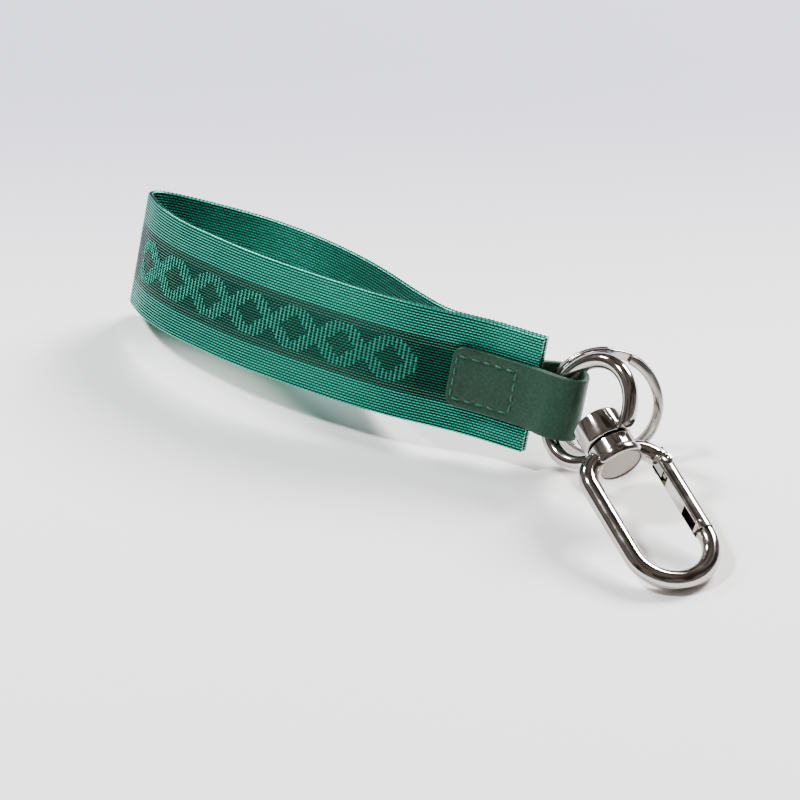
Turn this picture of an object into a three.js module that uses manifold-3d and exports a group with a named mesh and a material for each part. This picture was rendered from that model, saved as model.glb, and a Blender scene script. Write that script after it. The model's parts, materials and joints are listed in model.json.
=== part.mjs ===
// A wrist lanyard lying on a table. A woven webbing strap is folded into a loop, and a leather tab is sewn
// over its two ends. The tab's fold holds a split key ring and the eye ring of a swivel hook with a sprung
// gate. Millimetres, +Z up, +X along the strap from its fold to the hook, +Y to the strap's back.
import * as THREE from "three";
import { mergeVertices } from "three/addons/utils/BufferGeometryUtils.js";
import Module from "manifold-3d";

// Driving dimensions.
const GAP = 0.3; // air kept between pieces that touch
const LEAN = 19; // degrees that the strap leans back from upright
const LIFT = 4.5; // height of the strap's fold and tail above the table

const WEB_WIDTH = 30;
const WEB_THICK = 1.3;

const TAB_WIDTH = 15.6;
const TAB_THICK = 1.4;
const TAB_BOTTOM = 7; // from the webbing's lower edge to the tab's
const TAB_CORNER = 3; // radius of the tab's corners
const TAB_TWIST = 1.6; // how much further the fold's front bulges at its lower edge than at its upper one

const STITCH_MARGIN = 1.3; // from the tab's end to the seam
const STITCH_LENGTH = 15.6;
const STITCH_BOTTOM = 2.2; // from the tab's lower edge to the seam
const STITCH_HEIGHT = 10.9;
const THREAD_RADIUS = 0.3;

const KEY_RING_RADIUS = 13.45; // middle of the flat wire
const KEY_RING_BREADTH = 2.5;
const KEY_RING_THICK = 1.05; // of one coil
const KEY_RING_SWING = 33; // degrees swung back from the strap's plane
const KEY_RING_END = 72; // degrees round from the outermost point to the end of the front coil
const KEY_RING_JOG = 25; // degrees that the wire takes to cross from one coil to the other
const KEY_RING_AT = [121.9, 3.35, 14.8]; // where it passes through the tab's fold, in the strap's frame

const SWIVEL_AT = [136.27, 2.98, 20.66]; // middle of the eye ring
const SWIVEL_TURN = -28; // degrees from +X towards the viewer's side
const SWIVEL_DROOP = 20.6; // degrees below level
const EYE_ROLL = 60; // degrees that the eye ring is rolled about the swivel's axis
const EYE_LONG = 13.85; // half axes of the eye ring's centre line, across and along the swivel's axis
const EYE_SHORT = 11.45;
const EYE_WIRE = 1.95;
const UPPER_BARREL = { radius: 6.25, from: 3.4, to: 10.4 };
const BARREL_GAP = 0.6;
const LOWER_BARREL = { radius: 6, length: 5.65, bead: 0.35 };
const POST = { radius: 2, head: 3.7, headThick: 1.4, foot: 4.2, footThick: 1.3 };
const CAP = { radius: 5.6, thick: 1 };

const HOOK_WIRE = 2.4;
const HOOK_HALF = 10.05; // half the width between the arms' centre lines
const HOOK_STRAIGHT = 25.2; // from the cap's face to where the far bend begins
const ELBOW = 7; // radius of the bend from the barrel into each arm
const ELBOW_END = 3.8; // where that bend ends, from the cap's face

const PIVOT = 3.5; // from the cap's face to the gate's pivot
const GATE = { radius: 2.5, inner: 2, length: 20.8, slot: 1.8, heel: 5, bore: 13, nose: 13.5, web: 17.8 };
const TONGUE_HALF = 1.5; // half thickness of the tongues that the gate's ends straddle
const PIVOT_PIN = { radius: 0.8, head: 1.5, headThick: 0.35 };
const LATCH_PIN = { radius: 0.55, at: 19.2, drop: 1.3 };
const PLUNGER = { radius: 1.4, thick: 1.2, stem: 0.5, end: 9, drop: 0.2 };
const LEVER_END = 2.4; // from the pivot to the end of the tongue that the plunger presses on
const SPRING = { radius: 1.05, wire: 0.22, turns: 7, to: 12.6 };

// Centre line of the webbing seen from above: from the front layer's end, round the fold, to the back's.
const WEB_ROUTE = [
  [120, -1.6], [106, -4], [97, -7], [88, -10.6], [78, -13.2], [67, -14.9], [55, -16], [42, -16.2],
  [30, -14.8], [18, -12.4], [8, -8], [2, -3.6], [-1.3, -0.3], [-1.5, 2.2], [0.5, 4.6], [6, 7.3],
  [15, 10.3], [25, 12.7], [36, 13.2], [46, 12.2], [57, 9.6], [68, 5.6], [80, -0.2], [87.5, -3.5],
  [92.5, -5.2], [96, -5.55], [99.5, -4.6], [106, -2.4], [120, 0],
];

// Centre line of the leather tab, and how much of TAB_TWIST each point takes.
const TAB_ROUTE = [
  [99.3, -7.95, 0], [103, -6.65, 0], [107.5, -5.4, 0], [113.3, -4.45, 0], [118.5, -3.65, 0.1],
  [122.5, -3.7, 0.6], [126, -4, 1], [129.6, -3.3, 0.8], [131.5, -1.7, 0.4], [132, -0.1, 0],
  [131.6, 1.8, 0], [130.2, 4.6, 0], [127.9, 7.2, 0], [124.6, 8.4, 0], [121.4, 7.5, 0], [118.7, 4.6, 0],
  [116.5, 1.8, 0], [113.7, 0.7, 0], [109.5, -0.05, 0], [105.7, -0.8, 0], [102.5, -1.75, 0], [99.4, -2.85, 0],
];

const rad = THREE.MathUtils.degToRad;
const wasm = await Module();
wasm.setup();

// The manifold solid of a closed geometry.
function solid(geometry) {
  const bare = geometry.clone();
  bare.deleteAttribute("normal");
  bare.deleteAttribute("uv");
  const merged = mergeVertices(bare, 1e-4);
  const mesh = new wasm.Mesh({
    numProp: 3,
    vertProperties: merged.attributes.position.array,
    triVerts: new Uint32Array(merged.index.array),
  });
  return new wasm.Manifold(mesh);
}

// A geometry again from a manifold solid.
function geometryOf(made) {
  const mesh = made.getMesh();
  const positions = [];
  for (let i = 0; i < mesh.numVert; i++) {
    positions.push(...mesh.vertProperties.slice(i * mesh.numProp, i * mesh.numProp + 3));
  }
  const geometry = new THREE.BufferGeometry();
  geometry.setAttribute("position", new THREE.Float32BufferAttribute(positions, 3));
  geometry.setIndex([...mesh.triVerts]);
  geometry.computeVertexNormals();
  return geometry;
}

const unite = (first, ...others) => others.reduce((sum, each) => sum.add(solid(each)), solid(first));
const cut = (made, ...others) => others.reduce((rest, each) => rest.subtract(solid(each)), made);

// A closed skin over rings of points: they join up end to end, or each end is closed by a strip.
function skin(rings, loops = false) {
  const size = rings[0].length;
  const faces = [];
  const steps = loops ? rings.length : rings.length - 1;
  for (let i = 0; i < steps; i++) {
    const here = i * size;
    const next = ((i + 1) % rings.length) * size;
    for (let j = 0; j < size; j++) {
      const k = (j + 1) % size;
      faces.push(here + j, here + k, next + j, here + k, next + k, next + j);
    }
  }
  if (!loops) {
    const last = (rings.length - 1) * size;
    for (let j = 0; j < size / 2 - 1; j++) {
      const far = size - 1 - j;
      faces.push(j, far, j + 1, far, far - 1, j + 1);
      faces.push(last + j, last + j + 1, last + far, last + far, last + j + 1, last + far - 1);
    }
  }
  const geometry = new THREE.BufferGeometry();
  const positions = rings.flat().flatMap((point) => point.toArray());
  geometry.setAttribute("position", new THREE.Float32BufferAttribute(positions, 3));
  geometry.setIndex(faces);
  if (signedVolume(geometry) < 0) geometry.setIndex(faces.reverse());
  geometry.computeVertexNormals();
  return geometry;
}

function signedVolume(geometry) {
  const corners = [0, 1, 2].map(() => new THREE.Vector3());
  let sum = 0;
  for (let i = 0; i < geometry.index.count; i += 3) {
    corners.forEach((corner, n) => corner.fromBufferAttribute(geometry.attributes.position, geometry.index.getX(i + n)));
    sum += corners[0].dot(corners[1].clone().cross(corners[2]));
  }
  return sum;
}

// A section carried along a path. Each section point is [sideways, along the up direction].
function sweep(path, section, upAt, loops = false) {
  const count = path.length;
  const rings = path.map((point, i) => {
    const before = path[loops ? (i + count - 1) % count : Math.max(i - 1, 0)];
    const after = path[loops ? (i + 1) % count : Math.min(i + 1, count - 1)];
    const ahead = after.clone().sub(before).normalize();
    const up = upAt(i);
    const side = ahead.cross(up).normalize();
    return section.map(([s, n]) => point.clone().addScaledVector(side, s).addScaledVector(up, n));
  });
  return skin(rings, loops);
}

function roundSection(radius, sides) {
  return Array.from({ length: sides }, (_, i) => {
    const angle = (2 * Math.PI * (i + 0.5)) / sides;
    return [radius * Math.cos(angle), radius * Math.sin(angle)];
  });
}

// A body of revolution about +X from [radius, distance along X] points.
function turned(profile, sides = 36) {
  const points = profile.map(([radius, along]) => new THREE.Vector2(radius, along));
  return new THREE.LatheGeometry(points, sides).rotateZ(-Math.PI / 2);
}

// A solid rod along +X.
const rod = (radius, from, to, sides = 24) => turned([[0, from], [radius, from], [radius, to], [0, to]], sides);

// A rod along Z through a point of the hook's plane.
function crossRod(radius, half, x, y, sides = 20) {
  return rod(radius, -half, half, sides).rotateY(-Math.PI / 2).translate(x, y, 0);
}

function block(x0, x1, y0, y1, z0, z1) {
  const box = new THREE.BoxGeometry(x1 - x0, y1 - y0, z1 - z0);
  return box.translate((x0 + x1) / 2, (y0 + y1) / 2, (z0 + z1) / 2);
}

const arc = (centreX, centreY, radius, from, to, steps) =>
  Array.from({ length: steps + 1 }, (_, i) => {
    const angle = rad(from + ((to - from) * i) / steps);
    return new THREE.Vector3(centreX + radius * Math.cos(angle), centreY + radius * Math.sin(angle), 0);
  });

const UP = new THREE.Vector3(0, 0, 1);
const upward = () => UP;

const finish = {
  webbing: new THREE.MeshStandardMaterial({ color: 0x0b6b4f, roughness: 0.55, metalness: 0 }),
  leather: new THREE.MeshStandardMaterial({ color: 0x173a2b, roughness: 0.45, metalness: 0 }),
  thread: new THREE.MeshStandardMaterial({ color: 0x0f5a41, roughness: 0.7, metalness: 0 }),
  nickel: new THREE.MeshStandardMaterial({ color: 0xb9b4ae, roughness: 0.12, metalness: 1 }),
  brushed: new THREE.MeshStandardMaterial({ color: 0xbdb8b0, roughness: 0.38, metalness: 1 }),
  spring: new THREE.MeshStandardMaterial({ color: 0x9a9a98, roughness: 0.3, metalness: 1 }),
};

function addNode(parent, name, geometry, material) {
  const mesh = new THREE.Mesh(geometry, material);
  mesh.name = name;
  parent.add(mesh);
}

// The strap: one band of webbing, on edge.
function webbing() {
  const points = WEB_ROUTE.map(([x, y]) => new THREE.Vector3(x, y, 0));
  const path = new THREE.CatmullRomCurve3(points, false, "centripetal").getPoints(3 * (points.length - 1));
  const sides = [WEB_THICK / 2, -WEB_THICK / 2].map((offset) =>
    path.map((point, i) => {
      const before = path[Math.max(i - 1, 0)];
      const after = path[Math.min(i + 1, path.length - 1)];
      const side = after.clone().sub(before).normalize().cross(UP);
      return point.clone().addScaledVector(side, offset);
    }),
  );
  const outline = new THREE.Shape([...sides[0], ...sides[1].reverse()].map(({ x, y }) => new THREE.Vector2(x, y)));
  return new THREE.ExtrudeGeometry(outline, { depth: WEB_WIDTH, steps: 1, bevelEnabled: false });
}

const tabPoints = TAB_ROUTE.map((values) => new THREE.Vector3(...values));
const tabCurve = new THREE.CatmullRomCurve3(tabPoints, false, "centripetal");
const TAB_LENGTH = tabCurve.getLength();

// A point of the leather tab: share of its length, height over its lower edge, and height over its middle.
function tabPoint(share, height, over) {
  const { x, y, z: lean } = tabCurve.getPointAt(share);
  const ahead = tabCurve.getTangentAt(share);
  const across = new THREE.Vector3(-ahead.y, ahead.x, 0).normalize();
  const shift = TAB_TWIST * (height / TAB_WIDTH - 0.5) * lean;
  return new THREE.Vector3(x, y + shift, TAB_BOTTOM + height).addScaledVector(across, -over);
}

// The leather tab: a strip with round corners, folded round the two rings.
function leatherTab() {
  const steps = 52;
  const low = [0, 0.17, 0.47, 1].map((share) => share * TAB_CORNER);
  const heights = [...low, TAB_WIDTH / 2, ...low.map((height) => TAB_WIDTH - height).reverse()];
  const setBack = heights.map((height) => {
    const inCorner = Math.max(TAB_CORNER - Math.min(height, TAB_WIDTH - height), 0);
    return (TAB_CORNER - Math.sqrt(TAB_CORNER ** 2 - inCorner ** 2)) / TAB_LENGTH;
  });
  const rings = Array.from({ length: steps + 1 }, (_, i) => {
    const face = (over) =>
      heights.map((height, j) => tabPoint(setBack[j] + (1 - 2 * setBack[j]) * (i / steps), height, over));
    return [...face(TAB_THICK / 2), ...face(-TAB_THICK / 2).reverse()];
  });
  return skin(rings);
}

// One side's thread: a rectangular seam that lies on the leather, seen from the tab's nearer end.
function seam(fromStart) {
  const over = TAB_THICK / 2 + GAP + THREAD_RADIUS;
  const corners = [
    [STITCH_MARGIN, STITCH_BOTTOM],
    [STITCH_MARGIN + STITCH_LENGTH, STITCH_BOTTOM],
    [STITCH_MARGIN + STITCH_LENGTH, STITCH_BOTTOM + STITCH_HEIGHT],
    [STITCH_MARGIN, STITCH_BOTTOM + STITCH_HEIGHT],
  ];
  const stepsPerSide = 8;
  const places = corners.flatMap(([along, height], i) => {
    const [nextAlong, nextHeight] = corners[(i + 1) % corners.length];
    return Array.from({ length: stepsPerSide }, (_, j) => {
      const share = (j + 0.5) / stepsPerSide;
      const distance = along + (nextAlong - along) * share;
      const place = fromStart ? distance / TAB_LENGTH : 1 - distance / TAB_LENGTH;
      return [place, height + (nextHeight - height) * share];
    });
  });
  const path = places.map(([share, height]) => tabPoint(share, height, over));
  const upAt = (i) => {
    const [share, height] = places[i];
    return path[i].clone().sub(tabPoint(share, height, 0)).normalize();
  };
  return sweep(path, roundSection(THREAD_RADIUS, 6), upAt, true);
}

// The split ring: two coils of flat wire, in a plane that holds the strap's width.
function splitRing() {
  const sweepDegrees = 720 - KEY_RING_JOG;
  const coilTurn = 360 - KEY_RING_JOG;
  const steps = 60;
  const pitch = KEY_RING_THICK + GAP;
  const path = Array.from({ length: steps + 1 }, (_, i) => {
    const done = (sweepDegrees * i) / steps;
    const angle = rad(KEY_RING_END - done);
    const crossed = THREE.MathUtils.smoothstep(done, coilTurn, 360) - 0.5;
    const x = KEY_RING_RADIUS * (1 + Math.cos(angle));
    return new THREE.Vector3(x, pitch * crossed, KEY_RING_RADIUS * Math.sin(angle));
  });
  const across = KEY_RING_BREADTH / 2;
  const half = KEY_RING_THICK / 2;
  const round = 0.35;
  const section = [
    [across, half - round], [across - round, half], [round - across, half], [-across, half - round],
    [-across, round - half], [round - across, -half], [across - round, -half], [across, round - half],
  ];
  const axis = new THREE.Vector3(0, 1, 0);
  return sweep(path, section, () => axis);
}

// The oval ring and the barrel that the post turns in, along +X from the ring's middle.
function eyeRing() {
  const steps = 44;
  const path = Array.from({ length: steps }, (_, i) => {
    const angle = (2 * Math.PI * i) / steps;
    return new THREE.Vector3(EYE_SHORT * Math.cos(angle), EYE_LONG * Math.sin(angle), 0);
  });
  const ring = sweep(path, roundSection(EYE_WIRE, 12), upward, true).rotateX(rad(EYE_ROLL));
  const { radius, from, to } = UPPER_BARREL;
  const soft = 0.4;
  const barrel = turned([
    [0, from], [radius - soft, from], [radius, from + soft], [radius, to - soft], [radius - soft, to], [0, to],
  ]);
  const beyond = block(to, to + EYE_LONG, -EYE_LONG, EYE_LONG, -EYE_LONG, EYE_LONG);
  const bore = rod(POST.radius + GAP, from - 1, to + 1);
  const headRoom = rod(POST.head + GAP, from - 1, from + POST.headThick + 2 * GAP);
  return geometryOf(cut(unite(ring, barrel), beyond, bore, headRoom));
}

// The rivet that holds the two barrels together, with a head in each.
function swivelPost(face) {
  const head = UPPER_BARREL.from + GAP;
  const footEnd = face - CAP.thick - GAP;
  const footStart = footEnd - POST.footThick;
  return turned([
    [0, head], [POST.head - 0.4, head], [POST.head, head + 0.4], [POST.head, head + POST.headThick],
    [POST.radius, head + POST.headThick], [POST.radius, footStart], [POST.foot, footStart],
    [POST.foot, footEnd], [0, footEnd],
  ], 28);
}

// From here on, X is measured from the cap's face and Y across the hook.

// The lower barrel, the two arms with the far bend, the gate's lever tongue and the nose's tongue.
function hookBody() {
  const { radius, length, bead } = LOWER_BARREL;
  const barrel = turned([
    [0, -length], [radius - 0.3, -length], [radius, 0.3 - length], [radius, -1.6], [radius + bead, -1.1],
    [radius + bead, -0.6], [radius + 0.1, -0.05], [radius - 0.1, 0.1], [0, 0.1],
  ]);
  const elbowIn = HOOK_HALF - ELBOW;
  const wire = roundSection(HOOK_WIRE, 14);
  const noseFace = PIVOT + GATE.length + 0.5;
  const longArm = sweep([
    ...arc(ELBOW_END, -elbowIn, ELBOW, 180, 270, 7),
    ...arc(HOOK_STRAIGHT, 0, HOOK_HALF, -90, 90, 18),
    new THREE.Vector3(noseFace, HOOK_HALF, 0),
  ], wire, upward);
  const gateArm = sweep(arc(ELBOW_END, elbowIn, ELBOW, 180, 90, 7), wire, upward);
  const cavity = turned([
    [0, -length - 1], [POST.radius + GAP, -length - 1],
    [POST.radius + GAP, -CAP.thick - 2 * GAP - POST.footThick],
    [POST.foot + GAP, -CAP.thick - 2 * GAP - POST.footThick],
    [POST.foot + GAP, -CAP.thick - GAP], [CAP.radius + GAP, -CAP.thick - GAP],
    [CAP.radius + GAP, 2 * HOOK_WIRE], [0, 2 * HOOK_WIRE],
  ]);
  const heelRoom = crossRod(GATE.radius + GAP, HOOK_WIRE + 1, PIVOT, HOOK_HALF, 32);
  const body = cut(unite(barrel, longArm, gateArm), cavity, heelRoom);

  const lever = new THREE.Shape();
  lever.moveTo(-HOOK_WIRE - 1.6, -1.5);
  lever.lineTo(-1, -1.7);
  lever.lineTo(LEVER_END, -1.7);
  lever.lineTo(LEVER_END, 0.2);
  lever.lineTo(0, 1.5);
  lever.lineTo(-HOOK_WIRE - 1.6, 1.5);
  const tongue = plate(lever).translate(PIVOT, HOOK_HALF, 0);
  const noseLength = noseFace - PIVOT - GATE.web;
  const noseRod = rod(HOOK_WIRE, noseFace - noseLength + 0.5, noseFace + 0.5, 28).translate(0, HOOK_HALF, 0);
  const slab = block(0, HOOK_STRAIGHT, HOOK_HALF - 0.4, HOOK_HALF + 2 * HOOK_WIRE, -TONGUE_HALF, TONGUE_HALF);
  const nose = solid(noseRod).intersect(solid(slab));
  const pinHole = crossRod(PIVOT_PIN.radius + GAP, 2 * TONGUE_HALF, PIVOT, HOOK_HALF);
  return geometryOf(cut(body.add(solid(tongue)).add(nose), pinHole));
}

// A flat plate of the tongues' thickness, in the hook's plane.
function plate(shape) {
  const flat = new THREE.ExtrudeGeometry(shape, { depth: 2 * TONGUE_HALF, steps: 1, bevelEnabled: false });
  return flat.translate(0, 0, -TONGUE_HALF);
}

// From here on, X is measured from the gate's pivot along the gate.

// The gate: a bar with a round outside and a flat inside, slotted at both ends and bored for its spring.
function gateBar() {
  const { radius, inner, length, slot, heel, bore, nose, web } = GATE;
  const outline = new THREE.Shape();
  outline.moveTo(0.3 - inner, -radius);
  outline.lineTo(0, -radius);
  outline.absarc(0, 0, radius, -Math.PI / 2, Math.PI / 2, false);
  outline.lineTo(0.3 - inner, radius);
  outline.lineTo(-inner, radius - 0.3);
  outline.lineTo(-inner, 0.3 - radius);
  const bar = new THREE.ExtrudeGeometry(outline, {
    depth: length + radius,
    steps: 1,
    curveSegments: 20,
    bevelEnabled: false,
  });
  // Stand the section up: its X becomes the hook's Y, and the bar runs along +X.
  bar.rotateX(Math.PI / 2).rotateZ(Math.PI / 2).translate(-radius, 0, 0);
  const deep = 2 * radius;
  const heelForm = unite(crossRod(radius, deep, 0, 0, 32), block(0, length, -deep, deep, -deep, deep));
  const body = solid(bar).intersect(heelForm);
  return geometryOf(cut(
    body,
    block(-deep, heel, -deep, slot, -slot, slot),
    rod(PLUNGER.radius + GAP / 2, heel - 0.1, bore).translate(0, -PLUNGER.drop, 0),
    block(nose, length + 1, -deep, slot, -slot, slot),
    block(web, length + 1, 0, deep, -slot, slot),
    crossRod(PIVOT_PIN.radius + GAP, deep, 0, 0),
    crossRod(LATCH_PIN.radius + GAP, deep, LATCH_PIN.at, -LATCH_PIN.drop),
  ));
}

// The riveted pin that the gate turns on.
function pivotPin() {
  const { radius, head, headThick } = PIVOT_PIN;
  const seat = GATE.radius + GAP;
  return turned([
    [0, -seat - headThick], [head - 0.2, -seat - headThick], [head, -seat], [radius, -seat], [radius, seat],
    [head, seat], [head - 0.2, seat + headThick], [0, seat + headThick],
  ], 20).rotateY(-Math.PI / 2);
}

const latchPin = () => crossRod(LATCH_PIN.radius, GATE.radius, LATCH_PIN.at, -LATCH_PIN.drop);

// The plunger: a flat head that presses on the lever, and a stem that the spring is wound round.
function plunger() {
  const front = LEVER_END + GAP;
  const back = front + PLUNGER.thick;
  return turned([
    [0, front], [PLUNGER.radius, front], [PLUNGER.radius, back], [PLUNGER.stem, back],
    [PLUNGER.stem, PLUNGER.end], [0, PLUNGER.end],
  ], 20).translate(0, -PLUNGER.drop, 0);
}

// The compression spring between the plunger's head and the end of the bore.
function coilSpring() {
  const { radius, wire, turns, to } = SPRING;
  const from = LEVER_END + GAP + PLUNGER.thick + GAP + wire;
  const stepsPerTurn = 10;
  const steps = turns * stepsPerTurn;
  const path = Array.from({ length: steps + 1 }, (_, i) => {
    const angle = (2 * Math.PI * i) / stepsPerTurn;
    return new THREE.Vector3(from + ((to - from) * i) / steps, radius * Math.cos(angle), radius * Math.sin(angle));
  });
  const axis = new THREE.Vector3(1, 0, 0);
  return sweep(path, roundSection(wire, 6), () => axis).translate(0, -PLUNGER.drop, 0);
}

const strap = new THREE.Group();
strap.position.z = LIFT;
strap.rotation.x = -rad(LEAN);
addNode(strap, "webbing_strap", webbing(), finish.webbing);
addNode(strap, "leather_tab", leatherTab(), finish.leather);
addNode(strap, "stitch_thread_front", seam(true), finish.thread);
addNode(strap, "stitch_thread_back", seam(false), finish.thread);

const keyRing = new THREE.Group();
keyRing.position.set(...KEY_RING_AT);
keyRing.rotation.z = rad(KEY_RING_SWING);
addNode(keyRing, "split_key_ring", splitRing(), finish.nickel);
strap.add(keyRing);

const swivel = new THREE.Group();
const capFace = UPPER_BARREL.to + BARREL_GAP + LOWER_BARREL.length;
swivel.position.set(...SWIVEL_AT);
swivel.rotation.set(0, rad(SWIVEL_DROOP), rad(SWIVEL_TURN), "ZYX");
addNode(swivel, "eye_ring", eyeRing(), finish.nickel);
addNode(swivel, "swivel_post", swivelPost(capFace), finish.nickel);

const hook = new THREE.Group();
hook.position.x = capFace;
addNode(hook, "hook_body", hookBody(), finish.nickel);
addNode(hook, "swivel_cap", rod(CAP.radius, -CAP.thick, 0, 36), finish.brushed);
swivel.add(hook);

const gate = new THREE.Group();
gate.position.set(PIVOT, HOOK_HALF, 0);
addNode(gate, "gate", gateBar(), finish.nickel);
addNode(gate, "gate_pivot_pin", pivotPin(), finish.nickel);
addNode(gate, "latch_pin", latchPin(), finish.nickel);
addNode(gate, "gate_plunger", plunger(), finish.brushed);
addNode(gate, "gate_spring", coilSpring(), finish.spring);
hook.add(gate);

const lanyard = new THREE.Group();
lanyard.add(strap, swivel);

// The origin goes to the middle of the footprint, at the height that the lanyard lies on.
const bounds = new THREE.Box3().setFromObject(lanyard, true);
const middle = bounds.getCenter(new THREE.Vector3());
for (const half of [strap, swivel]) half.position.sub(new THREE.Vector3(middle.x, middle.y, bounds.min.z));

export default lanyard;
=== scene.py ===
"""The looks of a wrist lanyard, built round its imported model.

It is a woven strap folded into a loop, a sewn leather tab, a split key ring and a swivel hook with a
sprung gate. Lengths are in millimetres until a piece is placed."""
import json
import math

import bmesh
import bpy
import numpy as np
from mathutils import Matrix, Vector


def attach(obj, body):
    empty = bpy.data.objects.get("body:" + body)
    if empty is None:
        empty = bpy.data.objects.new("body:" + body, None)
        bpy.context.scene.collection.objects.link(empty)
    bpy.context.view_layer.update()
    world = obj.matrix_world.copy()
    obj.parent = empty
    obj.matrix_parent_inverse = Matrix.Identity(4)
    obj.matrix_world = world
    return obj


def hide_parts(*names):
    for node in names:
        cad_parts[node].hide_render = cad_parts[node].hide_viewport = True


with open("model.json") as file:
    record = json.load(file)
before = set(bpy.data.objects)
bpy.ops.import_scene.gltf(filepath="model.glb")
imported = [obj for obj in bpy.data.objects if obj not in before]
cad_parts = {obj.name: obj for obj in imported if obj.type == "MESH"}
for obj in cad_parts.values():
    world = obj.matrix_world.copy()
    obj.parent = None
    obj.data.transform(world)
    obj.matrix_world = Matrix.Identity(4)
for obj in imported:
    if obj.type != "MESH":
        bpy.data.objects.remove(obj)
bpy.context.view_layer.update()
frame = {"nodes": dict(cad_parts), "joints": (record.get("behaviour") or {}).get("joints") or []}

MM = 0.001

# Driving dimensions in millimetres and degrees, the same as the model's own.
GAP = 0.3
WEB_WIDTH = 30
WEB_THICK = 1.3
TAB_WIDTH = 15.6
TAB_THICK = 1.4
TAB_BOTTOM = 7
TAB_CORNER = 3
TAB_TWIST = 1.6
STITCH_MARGIN = 1.3
STITCH_LENGTH = 15.6
STITCH_BOTTOM = 2.2
STITCH_HEIGHT = 10.9
KEY_RING_RADIUS = 13.45
KEY_RING_BREADTH = 2.5
KEY_RING_PITCH = 1.35
KEY_RING_SWING = 33
KEY_RING_END = 72
KEY_RING_JOG = 25
KEY_RING_AT = (121.9, 3.35, 14.8)
EYE_ROLL = 60
EYE_LONG = 13.85
EYE_SHORT = 11.45
EYE_WIRE = 1.95
UPPER_RADIUS = 6.25
UPPER_FROM = 3.4
UPPER_TO = 10.4
BARREL_GAP = 0.6
LOWER_RADIUS = 6
LOWER_LENGTH = 5.65
BEAD = 0.35
POST_RADIUS = 2
POST_HEAD = 3.7
POST_HEAD_THICK = 1.4
POST_FOOT = 4.2
POST_FOOT_THICK = 1.3
CAP_RADIUS = 5.6
CAP_THICK = 1
HOOK_WIRE = 2.4
HOOK_HALF = 10.05
HOOK_STRAIGHT = 25.2
ELBOW = 7
ELBOW_END = 3.8
PIVOT = 3.5
GATE_RADIUS = 2.5
GATE_INNER = 2
GATE_LENGTH = 20.8
GATE_SLOT = 1.8
GATE_HEEL = 5
GATE_BORE = 13
GATE_NOSE = 13.5
GATE_WEB = 17.8
TONGUE_HALF = 1.5
PIN_RADIUS = 0.8
PIN_HEAD = 1.5
PIN_HEAD_THICK = 0.35
LATCH_RADIUS = 0.55
LATCH_AT = 19.2
LATCH_DROP = 1.3
PLUNGER_RADIUS = 1.4
PLUNGER_DROP = 0.2
LEVER_END = 2.4

# Looks alone: the barrel's lip covers the cap's rim, and edges are softer than the model's.
CAP_FACE = CAP_RADIUS - 0.25
CAP_ROOM = 0.08
LIP_RISE = 0.25
BARREL_SOFT = 0.8
LIP_SOFT = 0.35
RIVET_HEAD = PIN_HEAD + 0.3
RIVET_GAP = 0.06
RING_SOFT = 0.45
RING_GAP = 0.1
GATE_SOFT = 0.9

# The webbing's centre line seen along its width, from the front layer's end to the back layer's.
WEB_ROUTE = [
    (120, -1.6), (106, -4), (97, -7), (88, -10.6), (78, -13.2), (67, -14.9), (55, -16), (42, -16.2),
    (30, -14.8), (18, -12.4), (8, -8), (2, -3.6), (-1.3, -0.3), (-1.5, 2.2), (0.5, 4.6), (6, 7.3),
    (15, 10.3), (25, 12.7), (36, 13.2), (46, 12.2), (57, 9.6), (68, 5.6), (80, -0.2), (87.5, -3.5),
    (92.5, -5.2), (96, -5.55), (99.5, -4.6), (106, -2.4), (120, 0),
]

# The leather tab's centre line, and how much of TAB_TWIST each point takes.
TAB_ROUTE = [
    (99.3, -7.95, 0), (103, -6.65, 0), (107.5, -5.4, 0), (113.3, -4.45, 0), (118.5, -3.65, 0.1),
    (122.5, -3.7, 0.6), (126, -4, 1), (129.6, -3.3, 0.8), (131.5, -1.7, 0.4), (132, -0.1, 0),
    (131.6, 1.8, 0), (130.2, 4.6, 0), (127.9, 7.2, 0), (124.6, 8.4, 0), (121.4, 7.5, 0), (118.7, 4.6, 0),
    (116.5, 1.8, 0), (113.7, 0.7, 0), (109.5, -0.05, 0), (105.7, -0.8, 0), (102.5, -1.75, 0),
    (99.4, -2.85, 0),
]

# The weave: long ribs side by side, each a row of dashes, and a beaded motif on the front.
RIBS = 43
RIB_PITCH = WEB_WIDTH / RIBS
RIB_DEPTH = 0.2
DASH_PITCH = 1.05
DASH_DEPTH = 0.05
SCALLOP = 0.09
EDGE_HALF = 0.12
BAND_MIDDLE = 14.7
DARK_BAND_HALF = 5.4
GREY_BAND_HALF = 7.8
MOTIF_FROM = 3
MOTIF_TO = 91
MOTIF_PITCH = 1.1
MOTIF_ROWS = 16
MOTIF_PERIOD = 12
MOTIF_STROKE = 6.4
MOTIF_TIP = 2.5
BEAD_HIGH = 0.3
BEAD_ALONG = 0.34
BEAD_ACROSS = 0.52
BEAD_SUNK = 0.05

# The leather's rim and the seams.
RIM_REACH = 0.55
SEAM_REACH = 0.75
SEAM_SUNK = 0.13
STITCH_RADIUS = 0.27
STITCH_SHARE = 0.74
STITCH_SLANT = 0.16
STITCHES_ALONG = 5
STITCHES_ACROSS = 4

# How far to each side of a point a path's direction is taken.
TANGENT_REACH = 0.2

# ---- the camera ----

CAMERA_LENS = 180
CAMERA_SENSOR = 36
CAMERA_DISTANCE = 1.0
CAMERA_AIM = Vector((-6.9, 0.8, 6.2)) * MM
CAMERA_HEADING = math.radians(124.29)
CAMERA_DOWN = math.radians(34)

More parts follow.
